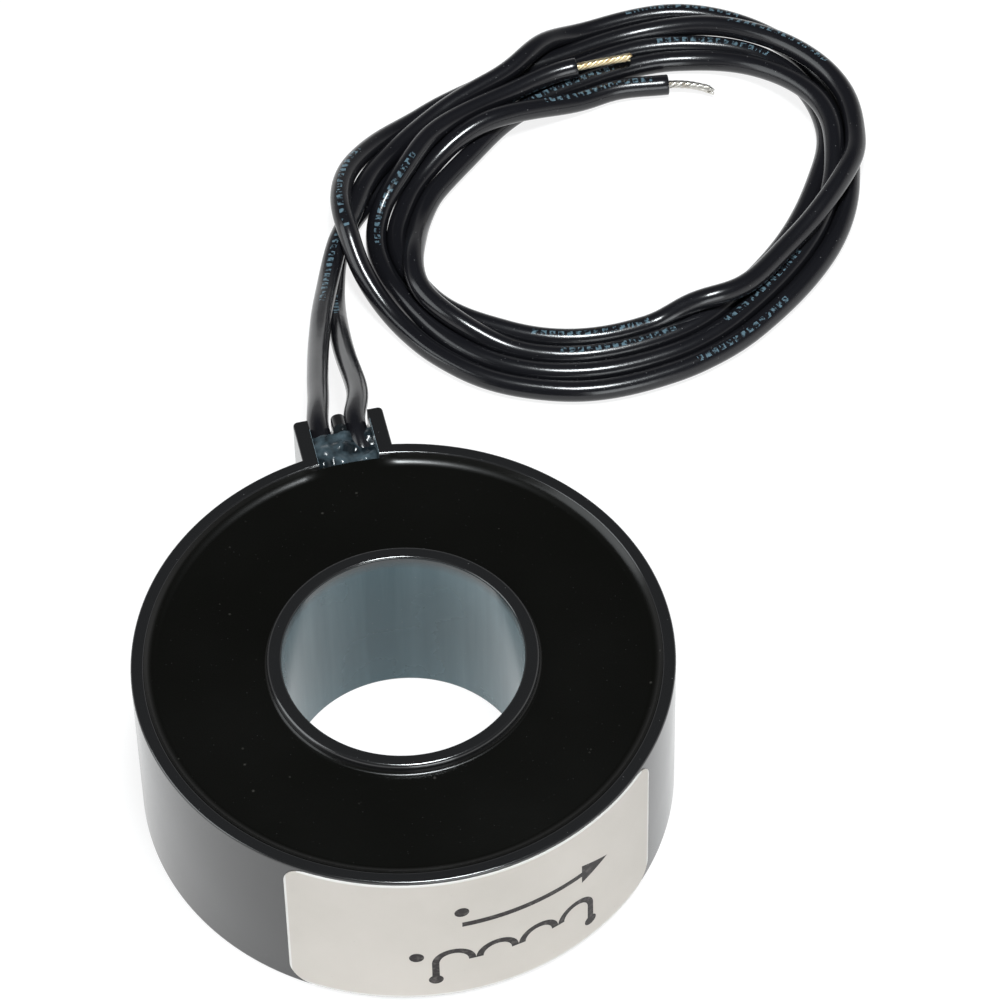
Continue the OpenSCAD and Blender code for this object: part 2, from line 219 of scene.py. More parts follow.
def tube(name, line, radius, sides, hollow=0):
    """A tube along the line with a cut end, and a U value that runs in metres along it."""
    mesh = bmesh.new()
    uv = mesh.loops.layers.uv.new("along")
    frames = frames_along(line)
    rims = []
    along = 0
    for i, p in enumerate(line):
        along += (p - line[i - 1]).length if i else 0
        rims.append((p, frames[i], radius, along))
    if hollow:
        # The cut end has a rounded outer edge and a hole one radius deep.
        tail, ahead = line[-1], frames[-1][0]
        edge = radius * CUT_ROUND
        rims[-1] = (tail - ahead * edge, frames[-1], radius, along)
        rims.append((tail - ahead * edge * 0.3, frames[-1], radius - edge * 0.3, along))
        rims.append((tail, frames[-1], radius - edge, along))
        rims.append((tail, frames[-1], hollow + edge * 0.4, along))
        rims.append((tail - ahead * edge, frames[-1], hollow, along))
        rims.append((tail - ahead * radius, frames[-1], hollow, along))
    rings = [
        [
            mesh.verts.new(p + r * (s * math.cos(2 * math.pi * k / sides)
                                    + u * math.sin(2 * math.pi * k / sides)))
            for k in range(sides)
        ]
        for p, (_, s, u), r, _ in rims
    ]
    for i in range(len(rings) - 1):
        for k in range(sides):
            n = (k + 1) % sides
            face = mesh.faces.new((rings[i][k], rings[i][n], rings[i + 1][n], rings[i + 1][k]))
            face.smooth = True
            for loop, (a, v) in zip(face.loops, ((i, k), (i, k + 1), (i + 1, k + 1), (i + 1, k))):
                loop[uv].uv = (rims[a][3], v / sides)
    mesh.faces.new(rings[0][::-1])
    mesh.faces.new(rings[-1])
    bmesh.ops.recalc_face_normals(mesh, faces=mesh.faces[:])
    data = bpy.data.meshes.new(name)
    mesh.to_mesh(data)
    mesh.free()
    piece = bpy.data.objects.new(name, data)
    bpy.context.scene.collection.objects.link(piece)
    return piece


def material(name, **sockets):
    """A new material with a Principled shader, whose plain values are set on its sockets."""
    made = bpy.data.materials.new(name)
    made.use_nodes = True
    shader = made.node_tree.nodes["Principled BSDF"]
    for socket, value in sockets.items():
        shader.inputs[socket.replace("_", " ")].default_value = value
    return made, made.node_tree, shader


def dress(piece, finish):
    """The piece in one material."""
    piece.data.materials.clear()
    piece.data.materials.append(finish)


def placed(piece, slot, finish, *replaces):
    """Gives the piece its material and its body, and hides the solids that it stands for."""
    dress(piece, finish)
    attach(piece, "root")
    if replaces:
        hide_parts(*replaces)


def node(tree, kind, *inputs, **settings):
    """A new node; an input is a value or the socket that feeds it, and None leaves it alone."""
    made = tree.nodes.new(kind)
    for key, value in settings.items():
        setattr(made, key, value)
    for socket, value in zip(made.inputs, inputs):
        if isinstance(value, bpy.types.NodeSocket):
            tree.links.new(value, socket)
        elif value is not None:
            socket.default_value = value
    return made


def math_node(tree, operation, *inputs):
    """One sum on values, as the socket that gives its result."""
    return node(tree, "ShaderNodeMath", *inputs, operation=operation).outputs[0]


def mixed(tree, mask, below, above):
    """One colour laid over another where the mask is 1."""
    made = node(tree, "ShaderNodeMix", data_type="RGBA")
    for name, value in (("Factor_Float", mask), ("A_Color", below), ("B_Color", above)):
        socket = next(s for s in made.inputs if s.identifier == name)
        if isinstance(value, bpy.types.NodeSocket):
            tree.links.new(value, socket)
        else:
            socket.default_value = value
    return next(s for s in made.outputs if s.identifier == "Result_Color")


def object_place(tree):
    """Where the shaded point lies on its piece, in metres."""
    return node(tree, "ShaderNodeTexCoord").outputs["Object"]


def noise(tree, where, scale, detail=2):
    """A cloudy value of about 0.5, in clouds about 1 / scale wide."""
    return node(tree, "ShaderNodeTexNoise", where, None, scale, detail).outputs[0]


def group(name, inputs, outputs):
    """An empty node group with float inputs {name: value} and outputs {name: socket type}."""
    made = bpy.data.node_groups.new(name, "ShaderNodeTree")
    for label, value in inputs.items():
        socket = made.interface.new_socket(label, in_out="INPUT", socket_type="NodeSocketFloat")
        socket.default_value = value
    for label, kind in outputs.items():
        made.interface.new_socket(label, in_out="OUTPUT", socket_type=kind)
    return made, made.nodes.new("NodeGroupInput"), made.nodes.new("NodeGroupOutput")


def use(tree, which, **values):
    """The group placed in a material, with its own values."""
    made = tree.nodes.new("ShaderNodeGroup")
    made.node_tree = which
    for label, value in values.items():
        made.inputs[label].default_value = value
    return made


# Dust: fine pale specks, a few of them larger, scattered over a surface.
DUST_GREY = (0.3, 0.3, 0.3, 1)
dust, into, out = group("dust", {"Scale": 900, "Amount": 0.1}, {"Mask": "NodeSocketFloat"})
cells = node(dust, "ShaderNodeTexVoronoi", object_place(dust))
dust.links.new(into.outputs["Scale"], cells.inputs["Scale"])
size_of_cell = node(dust, "ShaderNodeSeparateColor", cells.outputs["Color"])
reach = math_node(dust, "MULTIPLY", size_of_cell.outputs[0], into.outputs["Amount"])
speck = math_node(dust, "SUBTRACT", reach, cells.outputs["Distance"])
speck = math_node(dust, "MULTIPLY", speck, 12.0)
dust.links.new(node(dust, "ShaderNodeClamp", speck).outputs[0], out.inputs["Mask"])

# Handling: the gloss changes a little from place to place, and faint smears dull it.
handled, into, out = group(
    "handled", {"Scale": 60, "Gloss": 0.2, "Spread": 0.1}, {"Roughness": "NodeSocketFloat"}
)
clouds = noise(handled, object_place(handled), into.outputs["Scale"], detail=5)
swing = math_node(handled, "SUBTRACT", clouds, 0.5)
swing = math_node(handled, "MULTIPLY", swing, into.outputs["Spread"])
handled.links.new(
    math_node(handled, "ADD", swing, into.outputs["Gloss"]), out.inputs["Roughness"]
)

# Ripple: the slow unevenness of a moulded, poured or drawn surface, with a fine grain on it.
ripple, into, out = group(
    "ripple", {"Scale": 80, "Fineness": 2500, "Grain": 0.1}, {"Height": "NodeSocketFloat"}
)
slow = noise(ripple, object_place(ripple), into.outputs["Scale"])
fine = noise(ripple, object_place(ripple), into.outputs["Fineness"])
fine = math_node(ripple, "MULTIPLY", fine, into.outputs["Grain"])
ripple.links.new(math_node(ripple, "ADD", slow, fine), out.inputs["Height"])


def dusted(tree, colour, scale, amount, share, dust_colour=DUST_GREY):
    """The colour with specks of dust on it, as strong as their share."""
    specks = use(tree, dust, Scale=scale, Amount=amount).outputs[0]
    return mixed(tree, math_node(tree, "MULTIPLY", specks, share), colour, dust_colour)


def roughened(tree, shader, gloss, spread, scale):
    """The shader's roughness, uneven by this spread about its gloss."""
    uneven = use(tree, handled, Scale=scale, Gloss=gloss, Spread=spread)
    tree.links.new(uneven.outputs[0], shader.inputs["Roughness"])


def bumped(tree, shader, height, distance):
    """The shader's surface raised and sunk by the height, to this depth in metres."""
    bump = node(tree, "ShaderNodeBump")
    bump.inputs["Strength"].default_value = 1
    bump.inputs["Distance"].default_value = distance
    tree.links.new(height, bump.inputs["Height"])
    tree.links.new(bump.outputs[0], shader.inputs["Normal"])


def banded(tree, value, low, high):
    """1 where the value lies between low and high, else 0."""
    return math_node(
        tree, "MULTIPLY", math_node(tree, "GREATER_THAN", value, low),
        math_node(tree, "LESS_THAN", value, high),
    )


# The jacket: glossy black PVC with a row of pale blue marks in short groups, worn away here
# and there, and a little dust. A mark covers MARK of each MARK_STEP in the MARKED stretch of
# each MARK_GROUP along the lead, and MARKED_ROUND of the way round it.
MARK_STEP = 1.15 * MM
MARK = (0.2 * MM, 0.95 * MM)
MARK_GROUP = 74 * MM
MARKED = (50 * MM, 66 * MM)
MARKED_ROUND = (0.2, 0.29)
JACKET_BLACK = (0.008, 0.008, 0.01, 1)
MARK_BLUE = (0.16, 0.26, 0.32, 1)
jacket_pvc, tree, shader = material(
    "jacket_pvc", Base_Color=JACKET_BLACK, Roughness=0.2, IOR=1.52
)
along = node(tree, "ShaderNodeUVMap", uv_map="along").outputs[0]
along = node(tree, "ShaderNodeSeparateXYZ", along)
in_group = math_node(tree, "MODULO", along.outputs[0], MARK_GROUP)
in_mark = math_node(tree, "MODULO", along.outputs[0], MARK_STEP)
marks = math_node(
    tree, "MULTIPLY", banded(tree, in_group, *MARKED), banded(tree, in_mark, *MARK)
)
marks = math_node(tree, "MULTIPLY", marks, banded(tree, along.outputs[1], *MARKED_ROUND))
worn = noise(tree, object_place(tree), scale=1800, detail=3)
left_on = node(tree, "ShaderNodeMapRange", worn, 0.45, 0.56, 0.0, 0.6).outputs[0]
marks = math_node(tree, "MULTIPLY", marks, left_on)
colour = mixed(tree, marks, JACKET_BLACK, MARK_BLUE)
colour = dusted(tree, colour, scale=1400, amount=0.16, share=0.25)
tree.links.new(colour, shader.inputs["Base Color"])
roughened(tree, shader, gloss=0.2, spread=0.14, scale=120)
grain = use(tree, ripple, Scale=300, Fineness=5000, Grain=0.1)
bumped(tree, shader, grain.outputs[0], 0.03 * MM)

# The leads rest at LEAD_GAP from each other, and their first HELD points stay in the spout.
LEAD_STEP = 1.7 * MM
LEAD_GAP = 2.9 * MM
HELD = 10
lead_a_line, lead_b_line = (
    [Vector((x, y, max(z, LEAD_R))) for x, y, z in curve_through(list(line), 2)]
    for line in settled(
        [
            evenly(curve_through(wound(LEAD_A_ROUTE, TURNS_A, LAST_A, LEAD_A_END), 8), LEAD_STEP),
            evenly(curve_through(wound(LEAD_B_ROUTE, TURNS_B, LAST_B, LEAD_B_END), 8), LEAD_STEP),
        ],
        HELD, LEAD_GAP,
    )
)
lead_a_jacket = tube("lead_a_jacket", lead_a_line, LEAD_R, LEAD_SIDES, hollow=CORE_R)
lead_b_jacket = tube("lead_b_jacket", lead_b_line, LEAD_R, LEAD_SIDES, hollow=CORE_R)
placed(lead_a_jacket, "lead_jacket", jacket_pvc, "lead_a", "lead_coil")
placed(lead_b_jacket, "lead_jacket", jacket_pvc, "lead_b")

# --- The stripped tips ---------------------------------------------------------------------
# The conductors' fine strands, twisted together where the jackets are stripped. The first
# lead's are tinned and grey, and the second's have a golden look.
STRANDS = 6
STRAND_R = 0.21 * MM
STRAND_RING_R = 0.34 * MM
STRAND_PITCH = 4.8 * MM
STRAND_SIDES = 10
STRAND_STEPS = 48
HEART_R = 0.24 * MM
TUCKED_IN = 1.3 * MM
TIP_A_L = 6.2 * MM
TIP_B_L = 7.7 * MM
TIP_A_DROOP = Vector((-0.3, -1.6, -0.3)) * MM
TIP_B_DROOP = Vector((0, -0.3, -0.1)) * MM
# As shares of the tip's length: the shortest strand, the one in the middle, and where the
# strands start to spread.
SHORTEST = 0.86
HEART_L = 0.93
SPREADS_FROM = 0.75
TIN = (0.62, 0.6, 0.56, 1)
TIN_TARNISH = (0.35, 0.3, 0.24, 1)
GOLD = (0.84, 0.72, 0.48, 1)
GOLD_TARNISH = (0.6, 0.42, 0.2, 1)


def stripped_tip(name, line, length, droop, finish, slot, node_name):
    """Twisted strands round a core, going on from the end of a lead's line."""
    start = line[-1]
    ahead = (line[-1] - line[-2]).normalized()
    side = ahead.cross(Vector((0, 0, 1))).normalized()
    up = side.cross(ahead)
    strands = []
    for k in range(STRANDS + 1):
        off = STRAND_RING_R if k else 0
        phase = 2 * math.pi * k / STRANDS
        reach = length * random.uniform(SHORTEST, 1) if k else length * HEART_L
        path = []
        for i in range(STRAND_STEPS + 1):
            far = -TUCKED_IN + (reach + TUCKED_IN) * i / STRAND_STEPS
            turn = phase + 2 * math.pi * far / STRAND_PITCH
            open_up = max(far / length - SPREADS_FROM, 0) * random.uniform(0.5, 1.1) if k else 0
            path.append(
                start + ahead * far + droop * (max(far, 0) / length) ** 2
                + off * (1 + open_up) * (side * math.cos(turn) + up * math.sin(turn))
            )
        strands.append(tube(f"{name}_{k}", path, STRAND_R if k else HEART_R, STRAND_SIDES))
    for strand in strands:
        strand.select_set(True)
    bpy.context.view_layer.objects.active = strands[0]
    bpy.ops.object.join()
    tip = bpy.context.object
    tip.name = name
    bpy.ops.object.select_all(action="DESELECT")
    placed(tip, slot, finish, node_name)
    return tip


def strand_metal(name, colour, tarnish):
    """Bare metal with darker, duller spots."""
    made, tree, shader = material(name, Base_Color=colour, Metallic=1, Roughness=0.32)
    spots = noise(tree, object_place(tree), scale=900)
    dull = node(tree, "ShaderNodeMapRange", spots, 0.5, 0.7).outputs[0]
    tree.links.new(mixed(tree, dull, colour, tarnish), shader.inputs["Base Color"])
    roughened(tree, shader, gloss=0.32, spread=0.2, scale=700)
    return made


random.seed(7)
tinned = strand_metal("tinned_copper", TIN, TIN_TARNISH)
golden = strand_metal("golden_copper", GOLD, GOLD_TARNISH)
lead_a_strands = stripped_tip(
    "lead_a_strands", lead_a_line, TIP_A_L, TIP_A_DROOP, tinned, "tinned_strands", "lead_a_tip"
)
lead_b_strands = stripped_tip(
    "lead_b_strands", lead_b_line, TIP_B_L, TIP_B_DROOP, golden, "golden_strands", "lead_b_tip"
)

# --- The cup -------------------------------------------------------------------------------
# One injection moulding in glossy black plastic: outer wall, floor, hub tube and lead spout,
# whose end wall has a U notch for each lead and a round-topped tongue between them.
CUP_R = 33 * MM
CUP_H = 24.8 * MM
WALL = 1.6 * MM
FLOOR_T = 2 * MM
HUB_R = 16.55 * MM
HUB_H = 25.2 * MM
WINDOW_R = 14.75 * MM
CUP_STEPS = 192
SPOUT_W = 11.42 * MM
SPOUT_Y = 38.6 * MM
SPOUT_FOOT = 12.8 * MM
SPOUT_RISE = 3 * MM
SPOUT_FROM = CUP_R - 1.3 * MM
SPOUT_CORNER = 0.6 * MM
SPOUT_LIP = 0.25 * MM
TROUGH_W = 7.62 * MM
TROUGH_Y = 37 * MM
TROUGH_FOOT = SPOUT_FOOT + 1.9 * MM
TROUGH_RISE = 0.7 * SPOUT_RISE
NOTCH_X = 2.33 * MM
NOTCH_W = 2.96 * MM
NOTCH_Z = 22 * MM
NOTCH_FROM = TROUGH_Y - 0.4 * MM
# A round takes a little less than half a width, so that the two sides' rounds don't cross.
HALF_ROUND = 0.98
TONGUE_W = 1.7 * MM
TONGUE_ROUND = 0.96
# Points nearer than NEAR count as being in one place, and a look reaches SLACK past the face
# that it is for.
NEAR = 0.02 * MM
SLACK = 0.05 * MM


def put_down():
    """Out of edit mode, with nothing selected."""
    if bpy.context.mode != "OBJECT":
        bpy.ops.object.mode_set(mode="OBJECT")
    bpy.ops.object.select_all(action="DESELECT")


def picked(piece, what, test):
    """In edit mode, selects the vertices, edges or faces that pass the test, and no others."""
    bpy.ops.mesh.select_all(action="DESELECT")
    bpy.ops.mesh.select_mode(type={"verts": "VERT", "edges": "EDGE", "faces": "FACE"}[what])
    mesh = bmesh.from_edit_mesh(piece.data)
    for part in getattr(mesh, what):
        part.select_set(test(part))
    if what == "verts":
        mesh.select_flush(False)
    bmesh.update_edit_mesh(piece.data)


def circle_at(radius, height):
    """A test for an edge on the level circle of this radius at this height."""
    return lambda edge: all(
        abs(v.co.xy.length - radius) < NEAR and abs(v.co.z - height) < NEAR for v in edge.verts
    )


def alongside(edge):
    """Whether the edge's two ends lie equally far to one side."""
    return abs(edge.verts[0].co.x - edge.verts[1].co.x) < NEAR / 20


def middle_z(face):
    """The height of the face's middle."""
    return face.calc_center_median().z


def block(name, low, high):
    """A box between two corners, left in edit mode."""
    put_down()
    bpy.ops.mesh.primitive_cube_add(size=1)
    piece = bpy.context.object
    piece.name = name
    bpy.ops.object.mode_set(mode="EDIT")
    bpy.ops.transform.resize(value=[h - l for l, h in zip(low, high)])
    bpy.ops.transform.translate(value=[(l + h) / 2 for l, h in zip(low, high)])
    return piece


def cut_or_joined(piece, other, operation):
    """The piece with the other added to it or cut out of it."""
    put_down()
    bpy.context.view_layer.objects.active = piece
    step = piece.modifiers.new("boolean", "BOOLEAN")
    step.operation = operation
    step.object = other
    step.solver = "EXACT"
    bpy.ops.object.modifier_apply(modifier=step.name)
    bpy.data.objects.remove(other)


def smoothed(piece, angle):
    """Smooth shading up to the angle, with flat faces kept flat beside their rounded edges."""
    put_down()
    bpy.context.view_layer.objects.active = piece
    piece.select_set(True)
    bpy.ops.object.shade_smooth_by_angle(angle=math.radians(angle))
    step = piece.modifiers.new("weighted", "WEIGHTED_NORMAL")
    step.keep_sharp = True
    bpy.ops.object.modifier_apply(modifier=step.name)
    bpy.ops.object.select_all(action="DESELECT")


def closed_up():
    """The points that meet made one, so that the piece is a closed solid."""
    bpy.ops.mesh.select_all(action="SELECT")
    bpy.ops.mesh.remove_doubles(threshold=NEAR / 2)
    bpy.ops.mesh.normals_make_consistent(inside=False)


def pushed(distance):
    """The selected faces pushed up, or down where the distance is negative."""
    bpy.ops.mesh.extrude_region_move(TRANSFORM_OT_translate={"value": (0, 0, distance)})


bpy.ops.mesh.primitive_cylinder_add(vertices=CUP_STEPS, radius=CUP_R, depth=CUP_H)
cup = bpy.context.object
cup.name = "cup"
bpy.ops.object.mode_set(mode="EDIT")
bpy.ops.transform.translate(value=(0, 0, CUP_H / 2))
# The wall, the floor, the hub and the window are pressed out of the solid in turn.
picked(cup, "faces", lambda f: f.normal.z > 0.9)
bpy.ops.mesh.inset(thickness=WALL)
pushed(FLOOR_T - CUP_H)
bpy.ops.mesh.inset(thickness=CUP_R - WALL - HUB_R)
pushed(HUB_H - FLOOR_T)
bpy.ops.mesh.inset(thickness=HUB_R - WINDOW_R)
pushed(-HUB_H)
bpy.ops.mesh.delete(type="FACE")
picked(cup, "faces", lambda f: f.normal.z < -0.9 and middle_z(f) < 0.1 * MM)
bpy.ops.mesh.inset(thickness=CUP_R - WINDOW_R)
bpy.ops.mesh.delete(type="FACE")
closed_up()
# Each round edge: its radius, its height and how far it is rounded.
for radius, height, width in (
    (CUP_R, 0, 0.4 * MM), (CUP_R, CUP_H, 0.3 * MM), (CUP_R - WALL, CUP_H, 0.3 * MM),
    (HUB_R, HUB_H, 0.5 * MM), (WINDOW_R, HUB_H, 0.3 * MM), (WINDOW_R, 0, 0.2 * MM),
):
    picked(cup, "edges", circle_at(radius, height))
    bpy.ops.mesh.bevel(offset=width, segments=4)

# A level line below the spout keeps the wall under it in clean strips.
bpy.ops.mesh.select_all(action="SELECT")
bpy.ops.mesh.bisect(plane_co=(0, 0, SPOUT_FOOT - 0.5 * MM), plane_no=(0, 0, 1))

spout = block("spout", (-SPOUT_W / 2, SPOUT_FROM, SPOUT_FOOT), (SPOUT_W / 2, SPOUT_Y, CUP_H))
picked(spout, "verts", lambda v: v.co.y > CUP_R and v.co.z < SPOUT_FOOT + MM)
bpy.ops.transform.translate(value=(0, 0, SPOUT_RISE))
picked(spout, "edges", lambda e: all(v.co.y > CUP_R for v in e.verts) and alongside(e))
bpy.ops.mesh.bevel(offset=SPOUT_CORNER, segments=5)
picked(spout, "edges", lambda e: all(v.co.z > CUP_H - NEAR for v in e.verts)
       and any(v.co.y > CUP_R for v in e.verts))
bpy.ops.mesh.bevel(offset=SPOUT_LIP, segments=3)
cut_or_joined(cup, spout, "UNION")

trough = block(
    "trough", (-TROUGH_W / 2, CUP_R - WALL - MM, TROUGH_FOOT),
    (TROUGH_W / 2, TROUGH_Y, CUP_H + MM),
)
picked(trough, "verts", lambda v: v.co.y > CUP_R and v.co.z < TROUGH_FOOT + MM)
bpy.ops.transform.translate(value=(0, 0, TROUGH_RISE))
cut_or_joined(cup, trough, "DIFFERENCE")

for x in (-NOTCH_X, NOTCH_X):
    notch = block(
        "notch", (x - NOTCH_W / 2, NOTCH_FROM, NOTCH_Z - NOTCH_W / 2),
        (x + NOTCH_W / 2, SPOUT_Y + MM, CUP_H + MM),
    )
    picked(notch, "edges", lambda e: all(v.co.z < NOTCH_Z for v in e.verts) and alongside(e))
    bpy.ops.mesh.bevel(offset=NOTCH_W / 2 * HALF_ROUND, segments=12)
    cut_or_joined(cup, notch, "DIFFERENCE")

# The tongue between the notches has a round top.
between_notches = block(
    "between_notches", (-NOTCH_X, NOTCH_FROM, NOTCH_Z), (NOTCH_X, SPOUT_Y + MM, CUP_H + MM)
)
cut_or_joined(cup, between_notches, "DIFFERENCE")
tongue = block(
    "tongue", (-TONGUE_W / 2, TROUGH_Y, NOTCH_Z - 2 * MM), (TONGUE_W / 2, SPOUT_Y, CUP_H)
)
picked(tongue, "edges", lambda e: all(v.co.z > CUP_H - NEAR for v in e.verts) and alongside(e))
bpy.ops.mesh.bevel(offset=TONGUE_W / 2 * TONGUE_ROUND, segments=8)
cut_or_joined(cup, tongue, "UNION")
smoothed(cup, 35)

# The bore is painted a pale blue-grey that stands in for reflected light. It is paler towards its
# left and right sides and in up-and-down streaks, as painted reflection.
# The rest is glossy, with fine scuffs and a little dust.
CUP_BLACK = (0.012, 0.012, 0.0125, 1)
BORE_DARK = (0.012, 0.045, 0.06, 1)
BORE_PAINTED_REFLECTION = (0.15, 0.21, 0.23, 1)
BORE_SHINE = (0.72, 0.93, 1, 1)
# The trough walls' pale blue-grey is a painted highlight.
RESIN_FILM_PAINTED_HIGHLIGHT = (0.13, 0.17, 0.19, 1)
cup_plastic, tree, shader = material(
    "cup_plastic", Base_Color=CUP_BLACK, Roughness=0.14, IOR=1.72
)
place = node(tree, "ShaderNodeSeparateXYZ", object_place(tree))
flat = node(tree, "ShaderNodeCombineXYZ", place.outputs[0], place.outputs[1]).outputs[0]
from_axis = node(tree, "ShaderNodeVectorMath", flat, operation="LENGTH").outputs["Value"]
in_bore = math_node(tree, "LESS_THAN", from_axis, WINDOW_R + SLACK)
lip_fade = node(
    tree, "ShaderNodeMapRange", place.outputs[2], HUB_H - 2.2 * MM, HUB_H - 0.4 * MM, 1.0, 0.1
).outputs[0]
in_bore = math_node(tree, "MULTIPLY", in_bore, lip_fade)
round_the_bore = math_node(tree, "ARCTAN2", place.outputs[1], place.outputs[0])
streak_place = node(
    tree, "ShaderNodeCombineXYZ", math_node(tree, "MULTIPLY", round_the_bore, 3.0), 0.0,
    math_node(tree, "MULTIPLY", place.outputs[2], 12.0),
).outputs[0]
# Painted reflection: paler towards the bore's left and right sides and in up-and-down streaks.
painted_reflection_streaks = noise(tree, streak_place, scale=2.2, detail=4)
painted_reflection_to_sides = math_node(tree, "ABSOLUTE", math_node(tree, "COSINE", round_the_bore))
painted_reflection_to_sides = math_node(tree, "POWER", painted_reflection_to_sides, 1.5)
uneven = math_node(tree, "MULTIPLY", math_node(tree, "SUBTRACT", painted_reflection_streaks, 0.5), 0.7)
pale = node(tree, "ShaderNodeClamp", math_node(tree, "ADD", painted_reflection_to_sides, uneven)).outputs[0]
painted_bore_reflection = mixed(tree, pale, BORE_DARK, BORE_PAINTED_REFLECTION)
colour = mixed(tree, in_bore, CUP_BLACK, painted_bore_reflection)
tree.links.new(mixed(tree, in_bore, (1, 1, 1, 1), BORE_SHINE), shader.inputs["Specular Tint"])
# Resin has wetted the trough's side walls, and they are painted a pale blue-grey there as a
# painted highlight.
beside = math_node(tree, "ABSOLUTE", place.outputs[0])
wetted_painted_highlight = math_node(
    tree, "MULTIPLY",
    banded(tree, beside, TROUGH_W / 2 - SLACK, TROUGH_W / 2 + SLACK),
    banded(tree, place.outputs[1], CUP_R - WALL, TROUGH_Y + SLACK),
)
above_foot = math_node(tree, "GREATER_THAN", place.outputs[2], SPOUT_FOOT + MM)
wetted_painted_highlight = math_node(tree, "MULTIPLY", wetted_painted_highlight, above_foot)
colour = mixed(tree, wetted_painted_highlight, colour, RESIN_FILM_PAINTED_HIGHLIGHT)
colour = dusted(tree, colour, scale=1100, amount=0.12, share=0.3)
tree.links.new(colour, shader.inputs["Base Color"])
gloss = use(tree, handled, Scale=90, Gloss=0.14, Spread=0.14)
tree.links.new(
    math_node(tree, "ADD", gloss.outputs[0], math_node(tree, "MULTIPLY", in_bore, 0.12)),
    shader.inputs["Roughness"],
)
grain = use(tree, ripple, Scale=120, Fineness=4000, Grain=0.02)
bumped(tree, shader, grain.outputs[0], 0.02 * MM)
placed(cup, "case_plastic", cup_plastic, "case")

# --- The potting ---------------------------------------------------------------------------
# Black epoxy, poured in round the wound ring and cured. Its face is smooth and creeps up the
# walls, and in the spout it stands in glossy lumps round the leads.
FILL_Z = 23.9 * MM
CREEP = 0.8 * MM
HUB_CREEP = 0.25 * MM
CREEP_ROUND = 0.85
# The resin reaches this far into the plastic, so that no gap shows between them.
OVERLAP = 0.02 * MM
FILL_R = CUP_R - WALL + OVERLAP
FILL_IN_R = HUB_R - OVERLAP
SPOUT_FILL_Z = 23 * MM
SPOUT_FILL_FROM = 30.6 * MM
SPOUT_FILL_T = 8 * MM
# Half the width of the gap in the creep, where the spout's trough opens.
OPEN_X = 4.6 * MM
# The lumps in the spout: where each one is, its height and its reach, in millimetres. Each is
# drawn up from the grid's points within LUMP_TIP of its middle.
LUMP_TIP = 0.16 * MM
LUMPS = [
    (-2.5, 33.8, 1.25, 2.6), (-2.3, 36.2, 0.7, 1.7), (-0.2, 34.6, 0.8, 1.7),
    (0.5, 36.5, 0.45, 1.1), (-3.6, 35.2, 0.35, 1.1), (3.3, 35.8, 0.4, 1.2),
    (3.4, 32.6, 0.5, 1.3), (-0.6, 32.2, 0.75, 1.6), (2.2, 32, 0.75, 1.3), (-3.2, 31.9, 0.8, 1.6),
    (1.2, 33.6, -0.25, 0.9), (3.5, 34.2, -0.3, 0.9),
]

put_down()
bpy.ops.mesh.primitive_cylinder_add(vertices=CUP_STEPS, radius=FILL_R, depth=FILL_Z - FLOOR_T)
fill = bpy.context.object
fill.name = "fill"
bpy.ops.object.mode_set(mode="EDIT")
bpy.ops.transform.translate(value=(0, 0, (FILL_Z + FLOOR_T) / 2))
picked(fill, "faces", lambda f: f.normal.z > 0.9)
bpy.ops.mesh.inset(thickness=CREEP)
bpy.ops.mesh.inset(thickness=FILL_R - FILL_IN_R - CREEP - HUB_CREEP)
bpy.ops.mesh.inset(thickness=HUB_CREEP)
pushed(FLOOR_T - FILL_Z)
bpy.ops.mesh.delete(type="FACE")
picked(fill, "faces", lambda f: f.normal.z < -0.9 and middle_z(f) < FLOOR_T + 0.1 * MM)
bpy.ops.mesh.inset(thickness=FILL_R - FILL_IN_R)
bpy.ops.mesh.delete(type="FACE")
closed_up()
picked(fill, "verts", lambda v: v.co.z > FILL_Z - NEAR and v.co.xy.length < FILL_IN_R + SLACK)
bpy.ops.transform.translate(value=(0, 0, HUB_CREEP))
picked(fill, "verts", lambda v: v.co.z > FILL_Z - NEAR and v.co.xy.length > FILL_R - SLACK
       and not (abs(v.co.x) < OPEN_X and v.co.y > 0))
bpy.ops.transform.translate(value=(0, 0, CREEP))
for radius, creep in ((FILL_IN_R + HUB_CREEP, HUB_CREEP), (FILL_R - CREEP, CREEP)):
    picked(fill, "edges", circle_at(radius, FILL_Z))
    bpy.ops.mesh.bevel(offset=creep * CREEP_ROUND, segments=6)

put_down()
bpy.ops.mesh.primitive_grid_add(x_subdivisions=36, y_subdivisions=32, size=1)
lumps = bpy.context.object
bpy.ops.object.mode_set(mode="EDIT")
bpy.ops.transform.resize(value=(TROUGH_W + 2 * OVERLAP, TROUGH_Y + OVERLAP - SPOUT_FILL_FROM, 1))
bpy.ops.transform.translate(value=(0, (TROUGH_Y + SPOUT_FILL_FROM) / 2, SPOUT_FILL_Z))
for x, y, lift, wide in LUMPS:
    picked(lumps, "verts", lambda v: (v.co.xy - Vector((x, y)) * MM).length < LUMP_TIP)
    bpy.ops.transform.translate(
        value=(0, 0, lift * MM), use_proportional_edit=True, proportional_size=wide * MM,
        proportional_edit_falloff="SMOOTH",
    )
bpy.ops.mesh.select_all(action="SELECT")
pushed(-SPOUT_FILL_T)
bpy.ops.transform.resize(value=(1, 1, 0))
bpy.ops.mesh.select_all(action="SELECT")
bpy.ops.mesh.normals_make_consistent(inside=False)
cut_or_joined(fill, lumps, "UNION")
smoothed(fill, 40)

